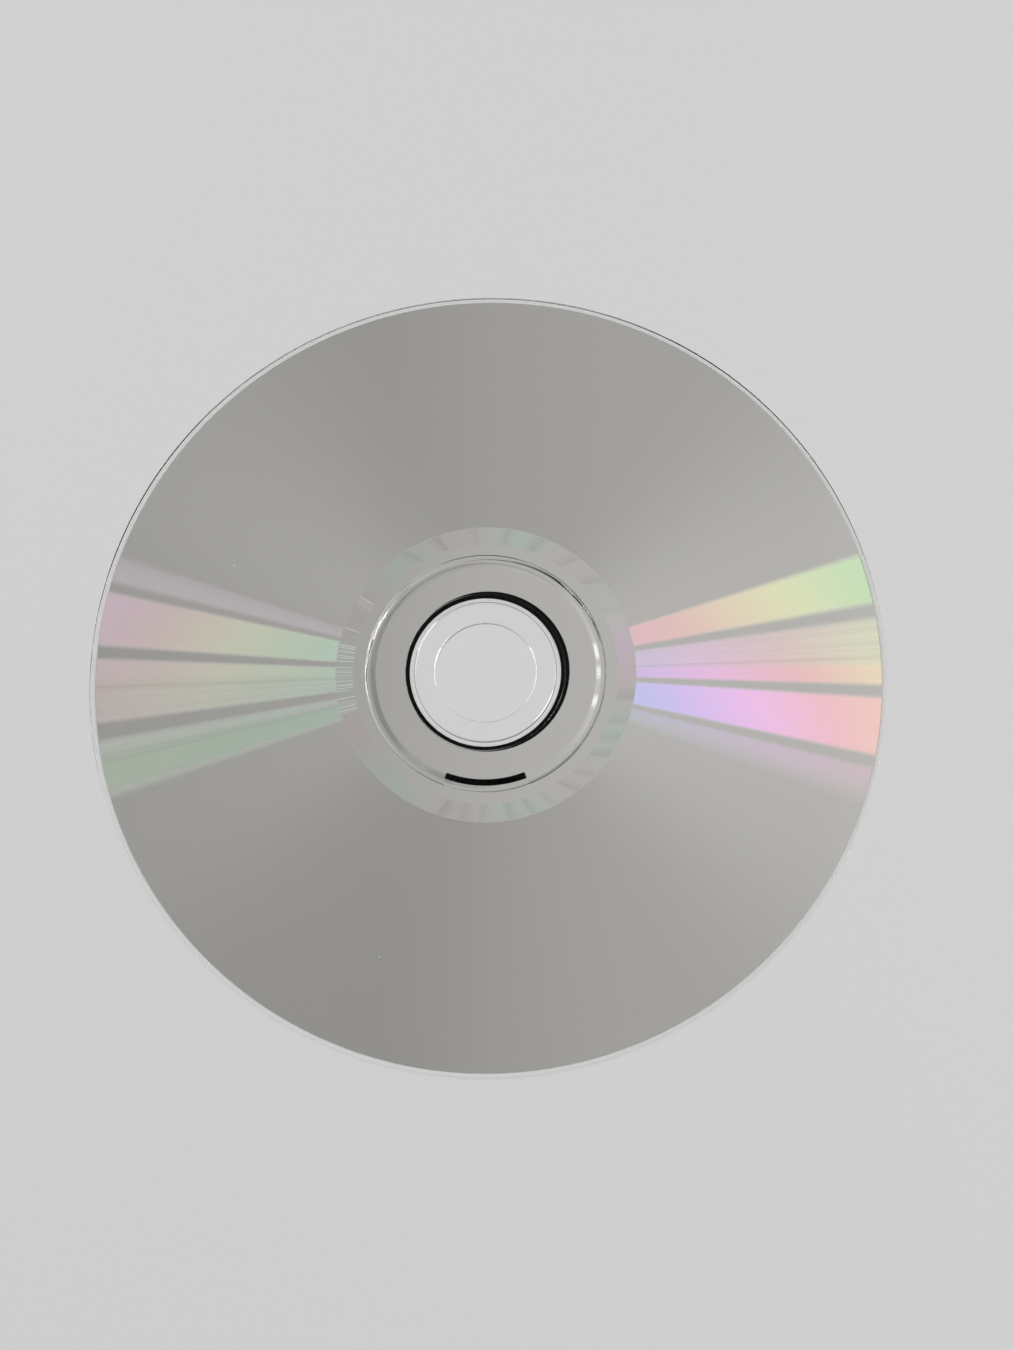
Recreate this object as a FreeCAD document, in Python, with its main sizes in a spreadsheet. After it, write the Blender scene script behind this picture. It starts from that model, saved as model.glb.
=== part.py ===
import FreeCAD, Part
import math
import os
import Sketcher

# Compact disc lying with its playing side up, sizes in millimetres.
# The origin is the centre of the hole at the printed underside, and +Z points out of the playing side.
# From the underside up: black ink, clear lacquer, metal film let into the lacquer, clear plastic.
# The feature that takes the most skill is the stacking ring: a gentle flank on the hub side that rounds
# into a flat crest, and a steep outer flank, all in the clear plastic in front of the flat film.

doc = FreeCAD.newDocument("CompactDisc")
sheet = doc.addObject("Spreadsheet::Sheet", "Dimensions")

dimensions = [
    ("disc_radius", 60.0, "outer radius of the disc"),
    ("hole_radius", 7.5, "radius of the centre hole"),
    ("plastic_thickness", 1.2, "thickness of the clear moulding"),
    ("hole_chamfer", 0.2, "chamfer at both mouths of the hole"),
    ("rim_round", 0.18, "rounding of the outer edge on both faces"),
    ("hub_line_radius", 10.62, "radius of the fine groove near the hub"),
    ("hub_line_half_width", 0.13, "half the width of that groove at the playing face"),
    ("hub_line_depth", 0.1, "depth of that groove"),
    ("stack_foot_radius", 16.6, "where the stacking ring's inner flank starts"),
    ("stack_flank_width", 0.8, "width of the gentle inner flank"),
    ("stack_crest_width", 0.55, "width of the flat crest"),
    ("stack_outer_width", 0.17, "width of the steep outer flank"),
    ("stack_height", 0.2, "height of the crest above the playing face"),
    ("stack_crest_round", 0.25, "rounding between the inner flank and the crest"),
    ("lacquer_thickness", 0.05, "thickness of the lacquer beside the film"),
    ("lacquer_inner_radius", 11.2, "inner radius of the lacquer"),
    ("lacquer_edge_margin", 0.3, "from the disc's edge in to the lacquer's edge"),
    ("film_thickness", 0.02, "nominal thickness of the metal film"),
    ("film_inner_margin", 1.15, "from the lacquer's inner edge out to the film"),
    ("film_inner_shift_right", 0.33, "offset of the film's inner edge to the right"),
    ("film_inner_shift_back", 0.25, "offset of the film's inner edge to the back"),
    ("film_edge_margin", 0.74, "clear rim from the disc's edge in to the film"),
    ("film_edge_shift_right", 0.11, "offset of the film's outer edge to the right"),
    ("film_edge_shift_back", 0.14, "offset of the film's outer edge to the back"),
    ("print_thickness", 0.02, "thickness of the black ink"),
    ("print_inner_margin", 0.22, "from the lacquer's inner edge out to the ink"),
    ("print_edge_margin", 1.4, "from the disc's edge in to the ink"),
    ("print_shift_left", 0.03, "offset of the ink to the left"),
    ("print_shift_back", 0.08, "offset of the ink to the back"),
]
for row, (alias, value, meaning) in enumerate(dimensions, start=1):
    sheet.set("A%d" % row, alias)
    sheet.set("B%d" % row, str(value))
    sheet.set("C%d" % row, meaning)
    sheet.setAlias("B%d" % row, alias)
doc.recompute()


def amount(*names):
    """Value and expression of a sum of driving dimensions, where a leading minus takes one away."""
    value = 0.0
    expression = ""
    for name in names:
        alias = name.lstrip("-")
        sign = "-" if name.startswith("-") else "+"
        value += float(sign + "1") * float(sheet.get(alias))
        expression += " %s Dimensions.%s" % (sign, alias)
    return value, expression.lstrip(" +")


plastic_bottom = amount("print_thickness", "lacquer_thickness")
plastic_top = amount("print_thickness", "lacquer_thickness", "plastic_thickness")
crest_level = amount("print_thickness", "lacquer_thickness", "plastic_thickness", "stack_height")
film_bottom = amount("print_thickness", "lacquer_thickness", "-film_thickness")

stack_foot = amount("stack_foot_radius")
stack_crest_inner = amount("stack_foot_radius", "stack_flank_width")
stack_crest_outer = amount("stack_foot_radius", "stack_flank_width", "stack_crest_width")
stack_outer = amount("stack_foot_radius", "stack_flank_width", "stack_crest_width", "stack_outer_width")

film_inner = amount("lacquer_inner_radius", "film_inner_margin")
film_outer = amount("disc_radius", "-film_edge_margin")
lacquer_outer = amount("disc_radius", "-lacquer_edge_margin")
print_inner = amount("lacquer_inner_radius", "print_inner_margin")
print_outer = amount("disc_radius", "-print_edge_margin")

film_inner_centre = (amount("film_inner_shift_right"), amount("film_inner_shift_back"))
film_outer_centre = (amount("film_edge_shift_right"), amount("film_edge_shift_back"))
print_centre = (amount("-print_shift_left"), amount("print_shift_back"))


def new_body(name):
    """Body whose label is its node name."""
    body = doc.addObject("PartDesign::Body", name)
    body.Label = name
    return body


def new_sketch(body, name, role, level=None):
    """Sketch on one of the body's origin planes, lifted to a level if one is given."""
    planes = [plane for plane in body.Origin.OriginFeatures if plane.Role == role]
    sketch = body.newObject("Sketcher::SketchObject", name)
    sketch.AttachmentSupport = [(planes[0], "")]
    sketch.MapMode = "FlatFace"
    if level:
        sketch.setExpression("AttachmentOffset.Base.z", level[1])
    return sketch


def bind(sketch, constraint, expression):
    """Add a constraint and drive it by an expression."""
    number = sketch.addConstraint(constraint)
    sketch.setExpression("Constraints[%d]" % number, expression)


def add_circle(sketch, radius, centre=None):
    """Circle of a bound radius, about the origin or about a bound centre."""
    middle = FreeCAD.Vector(centre[0][0], centre[1][0], 0) if centre else FreeCAD.Vector(0, 0, 0)
    circle = Part.Circle(middle, FreeCAD.Vector(0, 0, 1), radius[0])
    index = sketch.addGeometry(circle, False)
    bind(sketch, Sketcher.Constraint("Radius", index, radius[0]), radius[1])
    if centre is None:
        sketch.addConstraint(Sketcher.Constraint("Coincident", index, 3, -1, 1))
        return
    across, back = centre
    bind(sketch, Sketcher.Constraint("DistanceX", -1, 1, index, 3, across[0]), across[1])
    bind(sketch, Sketcher.Constraint("DistanceY", -1, 1, index, 3, back[0]), back[1])


def add_polygon(sketch, corners):
    """Closed outline with both coordinates of every corner bound."""
    count = len(corners)
    points = [FreeCAD.Vector(across[0], up[0], 0) for across, up in corners]
    lines = []
    for number in range(count):
        segment = Part.LineSegment(points[number], points[(number + 1) % count])
        lines.append(sketch.addGeometry(segment, False))
    for number in range(count):
        following = lines[(number + 1) % count]
        sketch.addConstraint(Sketcher.Constraint("Coincident", lines[number], 2, following, 1))
    for line, (across, up) in zip(lines, corners):
        bind(sketch, Sketcher.Constraint("DistanceX", -1, 1, line, 1, across[0]), across[1])
        bind(sketch, Sketcher.Constraint("DistanceY", -1, 1, line, 1, up[0]), up[1])


def pad(body, name, sketch, length):
    """Pad upwards by a bound length."""
    feature = body.newObject("PartDesign::Pad", name)
    feature.Profile = sketch
    feature.setExpression("Length", length[1])
    sketch.Visibility = False
    return feature


def turn(body, kind, name, sketch):
    """Full turn of a sketch about the body's Z axis, adding or cutting."""
    axes = [axis for axis in body.Origin.OriginFeatures if axis.Role == "Z_Axis"]
    feature = body.newObject(kind, name)
    feature.Profile = sketch
    feature.ReferenceAxis = (axes[0], [""])
    feature.Angle = 360.0
    sketch.Visibility = False
    return feature


def ring_edges(feature, radius, levels):
    """Names of the circular edges of one radius at the given levels."""
    names = []
    for number, edge in enumerate(feature.Shape.Edges, start=1):
        if not isinstance(edge.Curve, Part.Circle):
            continue
        same_radius = abs(edge.Curve.Radius - radius[0]) < 1e-4
        same_level = any(abs(edge.Curve.Center.z - level[0]) < 1e-4 for level in levels)
        if same_radius and same_level:
            names.append("Edge%d" % number)
    if len(names) != len(levels):
        raise ValueError("radius %.3f has %d edges, not %d" % (radius[0], len(names), len(levels)))
    return names


def soften(body, kind, name, base, edges, setting, measure):
    """Fillet or chamfer of a bound size on the named edges."""
    feature = body.newObject(kind, name)
    feature.Base = (base, edges)
    feature.setExpression(setting, measure[1])
    doc.recompute()
    return feature


# Substrate: the clear moulding with its hole, hub groove and stacking ring
substrate = new_body("substrate")
blank_sketch = new_sketch(substrate, "BlankOutline", "XY_Plane", plastic_bottom)
add_circle(blank_sketch, amount("disc_radius"))
add_circle(blank_sketch, amount("hole_radius"))
blank = pad(substrate, "Blank", blank_sketch, amount("plastic_thickness"))

stack_sketch = new_sketch(substrate, "StackingRingProfile", "XZ_Plane")
stack_corners = [
    (stack_foot, plastic_top),
    (stack_outer, plastic_top),
    (stack_crest_outer, crest_level),
    (stack_crest_inner, crest_level),
]
add_polygon(stack_sketch, stack_corners)
stacking_ring = turn(substrate, "PartDesign::Revolution", "StackingRing", stack_sketch)

line_floor = amount("print_thickness", "lacquer_thickness", "plastic_thickness", "-hub_line_depth")
line_sketch = new_sketch(substrate, "HubLineProfile", "XZ_Plane")
line_corners = [
    (amount("hub_line_radius", "-hub_line_half_width"), plastic_top),
    (amount("hub_line_radius"), line_floor),
    (amount("hub_line_radius", "hub_line_half_width"), plastic_top),
]
add_polygon(line_sketch, line_corners)
hub_line = turn(substrate, "PartDesign::Groove", "HubLine", line_sketch)
doc.recompute()

both_faces = [plastic_bottom, plastic_top]
chamfer = "PartDesign::Chamfer"
fillet = "PartDesign::Fillet"
hole_edges = ring_edges(hub_line, amount("hole_radius"), both_faces)
mouths = soften(substrate, chamfer, "HoleMouths", hub_line, hole_edges, "Size", amount("hole_chamfer"))
rim_edges = ring_edges(mouths, amount("disc_radius"), both_faces)
rim = soften(substrate, fillet, "RimRounds", mouths, rim_edges, "Radius", amount("rim_round"))
crest_edges = ring_edges(rim, stack_crest_inner, [crest_level])
crest = soften(substrate, fillet, "StackCrest", rim, crest_edges, "Radius", amount("stack_crest_round"))

# Metal film on the plastic's lower face, with an inner and an outer edge that are both off centre
reflective_layer = new_body("reflective_layer")
film_sketch = new_sketch(reflective_layer, "FilmOutline", "XY_Plane", film_bottom)
add_circle(film_sketch, film_outer, film_outer_centre)
add_circle(film_sketch, film_inner, film_inner_centre)
film = pad(reflective_layer, "Film", film_sketch, amount("film_thickness"))

# Clear lacquer: it covers the film from below and meets the plastic inside and outside it
lacquer_coat = new_body("lacquer_coat")
lacquer_sketch = new_sketch(lacquer_coat, "LacquerOutline", "XY_Plane", amount("print_thickness"))
add_circle(lacquer_sketch, lacquer_outer)
add_circle(lacquer_sketch, amount("lacquer_inner_radius"))
lacquer = pad(lacquer_coat, "Lacquer", lacquer_sketch, amount("lacquer_thickness"))
seat_sketch = new_sketch(lacquer_coat, "FilmSeatOutline", "XY_Plane", plastic_bottom)
add_circle(seat_sketch, film_outer, film_outer_centre)
add_circle(seat_sketch, film_inner, film_inner_centre)
film_seat = lacquer_coat.newObject("PartDesign::Pocket", "FilmSeat")
film_seat.Profile = seat_sketch
film_seat.setExpression("Length", amount("film_thickness")[1])
seat_sketch.Visibility = False

# Black ink on the lacquer, the lowest layer, which the disc lies on
label_print = new_body("label_print")
print_sketch = new_sketch(label_print, "PrintOutline", "XY_Plane")
add_circle(print_sketch, print_outer, print_centre)
add_circle(print_sketch, print_inner, print_centre)
ink = pad(label_print, "Ink", print_sketch, amount("print_thickness"))
doc.recompute()


def ring_volume(outer, inner, thickness):
    """Volume of a flat ring of bound sizes."""
    return math.pi * (outer[0] ** 2 - inner[0] ** 2) * thickness[0]


film_volume = ring_volume(film_outer, film_inner, amount("film_thickness"))
lacquer_volume = ring_volume(lacquer_outer, amount("lacquer_inner_radius"), amount("lacquer_thickness"))
expected = {
    "reflective_layer": film_volume,
    "lacquer_coat": lacquer_volume - film_volume,
    "label_print": ring_volume(print_outer, print_inner, amount("print_thickness")),
}

pieces = [substrate, reflective_layer, lacquer_coat, label_print]
for item in doc.Objects:
    if "Invalid" in item.State or "Error" in item.State:
        raise RuntimeError("%s has state %s" % (item.Name, item.State))
for piece in pieces:
    if piece.Shape.isNull() or not piece.Shape.isValid():
        raise RuntimeError("%s has no valid shape" % piece.Label)
    wanted = expected.get(piece.Label)
    if wanted is not None and abs(piece.Shape.Volume - wanted) > 1e-3 * wanted:
        raise RuntimeError("%s has volume %.3f, not %.3f" % (piece.Label, piece.Shape.Volume, wanted))

os.makedirs("parts", exist_ok=True)
for piece in pieces:
    piece.Shape.exportStep("parts/%s.step" % piece.Label)
    print("%s: %.1f cubic mm" % (piece.Label, piece.Shape.Volume))
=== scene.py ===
"""Compact disc lying with its playing side up: its looks, its light and its camera.

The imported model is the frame. The clear plastic is spun again with finer rounds, and the metal film
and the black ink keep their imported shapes. Sizes in the classes are millimetres, meshes are in metres.
"""
import colorsys
import logging
import math
from dataclasses import dataclass, field
from enum import Enum

import bmesh
import bpy
from mathutils import Euler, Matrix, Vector


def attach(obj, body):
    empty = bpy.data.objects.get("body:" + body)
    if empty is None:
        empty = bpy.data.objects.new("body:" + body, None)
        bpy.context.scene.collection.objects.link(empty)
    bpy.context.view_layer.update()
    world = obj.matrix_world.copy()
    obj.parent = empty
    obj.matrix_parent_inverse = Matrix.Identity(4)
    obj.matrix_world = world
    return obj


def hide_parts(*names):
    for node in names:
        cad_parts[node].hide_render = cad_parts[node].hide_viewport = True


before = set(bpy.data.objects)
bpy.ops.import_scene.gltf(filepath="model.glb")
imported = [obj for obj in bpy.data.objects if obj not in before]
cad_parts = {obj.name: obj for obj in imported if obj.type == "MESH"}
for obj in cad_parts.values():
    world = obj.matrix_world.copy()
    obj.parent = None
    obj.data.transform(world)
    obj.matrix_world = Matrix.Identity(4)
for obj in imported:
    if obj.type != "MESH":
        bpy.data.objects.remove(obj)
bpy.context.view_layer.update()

MM = 0.001
LOG = logging.getLogger("compact_disc")

Colour = tuple[float, float, float]
Stop = tuple[float, Colour]
Ring = tuple[float, float]
Socket = bpy.types.NodeSocket

RAMP_STEP = 12
MARKS_PER_RAMP = 10

HAIRLINE_SETS = ((0.35, 210.0), (1.9, 260.0), (2.75, 160.0))
HAIRLINE_STRETCH = 0.035
HAIRLINE_WIDTH = 0.004
HAIRLINE_GATE = (0.6, 0.72)
SPECK_SCALE = 260.0
SPECK_SIZE = (0.014, 0.034)
SPECK_CHANCE = (0.93, 0.94)


class Slot(Enum):
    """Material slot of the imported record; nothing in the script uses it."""

    CLEAR_PLASTIC = "clear_plastic"


class Node(Enum):
    """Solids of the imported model."""

    SUBSTRATE = "substrate"
    REFLECTIVE_LAYER = "reflective_layer"
    LACQUER_COAT = "lacquer_coat"
    LABEL_PRINT = "label_print"


# Node trees


class Sheet:
    """Short calls for laying out one node tree."""

    def __init__(self, tree: bpy.types.NodeTree) -> None:
        """Keeps the tree and empties it.

        Args:
            tree: Node tree of a material, a world or a node group.
        """
        self.tree = tree
        tree.nodes.clear()

    def feed(self, socket: Socket, value: object) -> None:
        """Links a socket to another socket, or sets its plain value.

        Args:
            socket: Input to fill.
            value: Output socket, number, vector or colour.
        """
        if isinstance(value, Socket):
            self.tree.links.new(value, socket)
        elif isinstance(value, tuple) and len(value) == 3 and socket.type == "RGBA":
            socket.default_value = (*value, 1.0)
        else:
            socket.default_value = value

    def add(self, kind: str, inputs: dict | None = None, **settings: object) -> bpy.types.Node:
        """Adds a node.

        Args:
            kind: Node type name.
            inputs: Input names or numbers with their sockets or plain values.
            **settings: Attributes of the node.

        Returns:
            The new node.
        """
        node = self.tree.nodes.new(kind)
        for name, value in settings.items():
            setattr(node, name, value)
        for name, value in (inputs or {}).items():
            self.feed(node.inputs[name], value)
        return node

    def math(self, operation: str, *values: object, clamp: bool = False) -> Socket:
        """Adds a Math node.

        Args:
            operation: Name of the operation.
            *values: Sockets or numbers.
            clamp: Whether the result is kept from 0 to 1.

        Returns:
            The result's socket.
        """
        node = self.add("ShaderNodeMath", dict(enumerate(values)), operation=operation, use_clamp=clamp)
        return node.outputs[0]

    def vector(self, operation: str, *values: object, scale: object = None) -> Socket:
        """Adds a Vector Math node.

        Args:
            operation: Name of the operation.
            *values: Sockets or vectors.
            scale: Factor, for the operation SCALE alone.

        Returns:
            The resulting vector's socket.
        """
        inputs = dict(enumerate(values)) if scale is None else {0: values[0], "Scale": scale}
        return self.add("ShaderNodeVectorMath", inputs, operation=operation).outputs[0]

    def step(self, value: object, low: object, high: object, start: object = 0.0,
             end: object = 1.0) -> Socket:
        """Smooth step of a value.

        Args:
            value: Socket that is stepped.
            low: Value at which the step starts.
            high: Value at which the step ends.
            start: Result before the step.
            end: Result after the step.

        Returns:
            The result's socket.
        """
        inputs = {"Value": value, "From Min": low, "From Max": high, "To Min": start, "To Max": end}
        return self.add("ShaderNodeMapRange", inputs, interpolation_type="SMOOTHSTEP").outputs[0]

    def blend(self, factor: object, first: object, second: object,
              mode: str = "MIX") -> Socket:
        """Mixes two colours.

        Args:
            factor: Share of the second colour.
            first: Colour or socket.
            second: Colour or socket.
            mode: Blend mode.

        Returns:
            The mixed colour's socket.
        """
        node = self.add("ShaderNodeMix", data_type="RGBA", blend_type=mode)
        for number, value in ((0, factor), (6, first), (7, second)):
            self.feed(node.inputs[number], value)
        return node.outputs[2]

    def ramp(self, factor: Socket, stops: tuple[Stop, ...],
             interpolation: str = "LINEAR") -> Socket:
        """Colour ramp.

        Args:
            factor: Position from 0 to 1.
            stops: Positions and colours, in order.
            interpolation: How the colours run into each other.

        Returns:
            The colour's socket.
        """
        node = self.add("ShaderNodeValToRGB", {0: factor})
        node.color_ramp.interpolation = interpolation
        elements = node.color_ramp.elements
        while len(elements) < len(stops):
            elements.new(0.5)
        for element, (position, colour) in zip(elements, stops):
            element.position = position
            element.color = (*colour, 1.0)
        return node.outputs[0]

    def group(self, tree: bpy.types.NodeTree, inputs: dict) -> bpy.types.Node:
        """Places a node group.

        Args:
            tree: The group's tree.
            inputs: Input names with their sockets or plain values.

        Returns:
            The group node.
        """
        node = self.add("ShaderNodeGroup", node_tree=tree)
        for name, value in inputs.items():
            self.feed(node.inputs[name], value)
        return node


def new_group(name: str, inputs: dict[str, str], outputs: dict[str, str]
              ) -> tuple[Sheet, bpy.types.Node, bpy.types.Node]:
    """Starts a node group with named sockets.

    Args:
        name: Name of the group.
        inputs: Input names with their socket types.
        outputs: Output names with their socket types.

    Returns:
        The group's sheet, its input node and its output node.
    """
    tree = bpy.data.node_groups.new(name, "ShaderNodeTree")
    for label, kind in inputs.items():
        tree.interface.new_socket(label, in_out="INPUT", socket_type="NodeSocket" + kind)
    for label, kind in outputs.items():
        tree.interface.new_socket(label, in_out="OUTPUT", socket_type="NodeSocket" + kind)
    sheet = Sheet(tree)
    return sheet, sheet.add("NodeGroupInput"), sheet.add("NodeGroupOutput")


def disc_place_group() -> bpy.types.NodeTree:
    """Builds the group that tells where a point lies on the disc.

    Returns:
        Group with the radius in millimetres and the angle in degrees from the right, to the left by the back.
    """
    outputs = {"Radius": "Float", "Angle": "Float"}
    sheet, source, result = new_group("disc_place", {"Vector": "Vector"}, outputs)
    parts = sheet.add("ShaderNodeSeparateXYZ", {0: source.outputs["Vector"]})
    across, back = parts.outputs[0], parts.outputs[1]
    squares = sheet.math("ADD", sheet.math("MULTIPLY", across, across), sheet.math("MULTIPLY", back, back))
    radius = sheet.math("MULTIPLY", sheet.math("SQRT", squares), 1.0 / MM)
    turn = sheet.math("DEGREES", sheet.math("ARCTAN2", back, across))
    sheet.feed(result.inputs["Radius"], radius)
    sheet.feed(result.inputs["Angle"], sheet.math("WRAP", turn, 360.0, 0.0))
    return sheet.tree


def sector_group() -> bpy.types.NodeTree:
    """Builds the group that masks one sector of the disc.

    Returns:
        Group with a mask that is 1 inside the sector and 0 outside it, with soft sides, and the way
        across the sector, from 0 at its lower angle to 1 at its higher one.
    """
    names = {"Angle": "Float", "Centre": "Float", "Half Width": "Float", "Softness": "Float"}
    sheet, source, result = new_group("sector", names, {"Mask": "Float", "Across": "Float"})
    ports = source.outputs
    offset = sheet.math("WRAP", sheet.math("SUBTRACT", ports["Angle"], ports["Centre"]), 180.0, -180.0)
    low = sheet.math("SUBTRACT", ports["Half Width"], ports["Softness"])
    high = sheet.math("ADD", ports["Half Width"], ports["Softness"])
    sheet.feed(result.inputs["Mask"], sheet.step(sheet.math("ABSOLUTE", offset), low, high, 1.0, 0.0))
    whole = sheet.math("MULTIPLY", ports["Half Width"], 2.0)
    share = sheet.math("ADD", sheet.math("DIVIDE", offset, whole), 0.5, clamp=True)
    sheet.feed(result.inputs["Across"], share)
    return sheet.tree


def ring_group() -> bpy.types.NodeTree:
    """Builds the group that masks one ring of the disc.

    Returns:
        Group that is 1 between the two radii and 0 elsewhere, with soft edges.
    """
    names = {"Radius": "Float", "Inner": "Float", "Outer": "Float", "Softness": "Float"}
    sheet, source, result = new_group("ring", names, {"Mask": "Float"})
    ports = source.outputs
    rise = sheet.step(ports["Radius"], sheet.math("SUBTRACT", ports["Inner"], ports["Softness"]),
                      sheet.math("ADD", ports["Inner"], ports["Softness"]))
    fall = sheet.step(ports["Radius"], sheet.math("SUBTRACT", ports["Outer"], ports["Softness"]),
                      sheet.math("ADD", ports["Outer"], ports["Softness"]), 1.0, 0.0)
    sheet.feed(result.inputs["Mask"], sheet.math("MULTIPLY", rise, fall))
    return sheet.tree


def hairline_group() -> bpy.types.NodeTree:
    """Builds the group of hairline scratches and dust specks.

    Returns:
        Group with a mask of scratches and a mask of specks.
    """
    outputs = {"Scratches": "Float", "Specks": "Float"}
    sheet, source, result = new_group("hairlines_and_dust", {"Vector": "Vector"}, outputs)
    place = source.outputs["Vector"]
    masks = []
    for turn, scale in HAIRLINE_SETS:
        turned = sheet.add("ShaderNodeMapping", {
            "Vector": place, "Rotation": (0.0, 0.0, turn), "Scale": (HAIRLINE_STRETCH, 1.0, 1.0),
            "Location": (turn, scale * MM, 0.0)})
        noise = sheet.add("ShaderNodeTexNoise", {
            "Vector": turned.outputs[0], "Scale": scale * 2.0, "Detail": 1.0, "Distortion": 0.25})
        middle = sheet.math("ABSOLUTE", sheet.math("SUBTRACT", noise.outputs[0], 0.5))
        line = sheet.step(middle, 0.0, HAIRLINE_WIDTH, 1.0, 0.0)
        gate = sheet.add("ShaderNodeTexNoise", {"Vector": place, "Scale": scale * 0.5, "Detail": 0.0})
        masks.append(sheet.math("MULTIPLY", line, sheet.step(gate.outputs[0], *HAIRLINE_GATE)))
    lines = sheet.math("MAXIMUM", sheet.math("MAXIMUM", masks[0], masks[1]), masks[2])
    cells = sheet.add("ShaderNodeTexVoronoi", {"Vector": place, "Scale": SPECK_SCALE})
    pick = sheet.add("ShaderNodeSeparateXYZ", {0: cells.outputs["Color"]})
    chosen = sheet.step(pick.outputs[0], *SPECK_CHANCE)
    dots = sheet.step(cells.outputs["Distance"], *SPECK_SIZE, 1.0, 0.0)
    sheet.feed(result.inputs["Scratches"], lines)
    sheet.feed(result.inputs["Specks"], sheet.math("MULTIPLY", dots, chosen))
    return sheet.tree


@dataclass
class SharedEffects:
    """Node groups that more than one finish uses, built once."""

    place: bpy.types.NodeTree = field(default_factory=disc_place_group)
    sector: bpy.types.NodeTree = field(default_factory=sector_group)
    ring: bpy.types.NodeTree = field(default_factory=ring_group)
    hairlines: bpy.types.NodeTree = field(default_factory=hairline_group)

    def ring_mask(self, sheet: Sheet, radius: Socket, ring: Ring, softness: float) -> Socket:
        """Mask of one ring of the disc, with edges as soft as the given millimetres."""
        inputs = {"Radius": radius, "Inner": ring[0], "Outer": ring[1], "Softness": softness}
        return sheet.group(self.ring, inputs).outputs[0]

    def sector_parts(self, sheet: Sheet, angle: Socket, centre: float, half_width: float,
                     softness: float) -> tuple[Socket, Socket]:
        """Mask of one sector of the disc and the way across it, with sizes in degrees."""
        inputs = {"Angle": angle, "Centre": centre, "Half Width": half_width, "Softness": softness}
        return tuple(sheet.group(self.sector, inputs).outputs)


def new_material(name: str) -> tuple[bpy.types.Material, Sheet]:
    """Makes an empty material.

    Args:
        name: Name of the material.

    Returns:
        The material and the sheet of its tree.
    """
    material = bpy.data.materials.new(name)
    material.use_nodes = True
    return material, Sheet(material.node_tree)


def linear(red: float, green: float, blue: float) -> Colour:
    """Turns a colour of 0 to 255 into the linear colour that nodes take.

    Args:
        red: Red on the screen.
        green: Green on the screen.
        blue: Blue on the screen.

    Returns:
        The linear colour.
    """
    def one(value: float) -> float:
        """Linear value of one channel."""
        share = value / 255.0
        return share / 12.92 if share <= 0.04045 else ((share + 0.055) / 1.055) ** 2.4

    return one(red), one(green), one(blue)


# Finishes


@dataclass(frozen=True)
class GlintLine:
    """Fine moulded line that glints, with its share of the full glint."""

    ring: Ring
    weight: float


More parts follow.
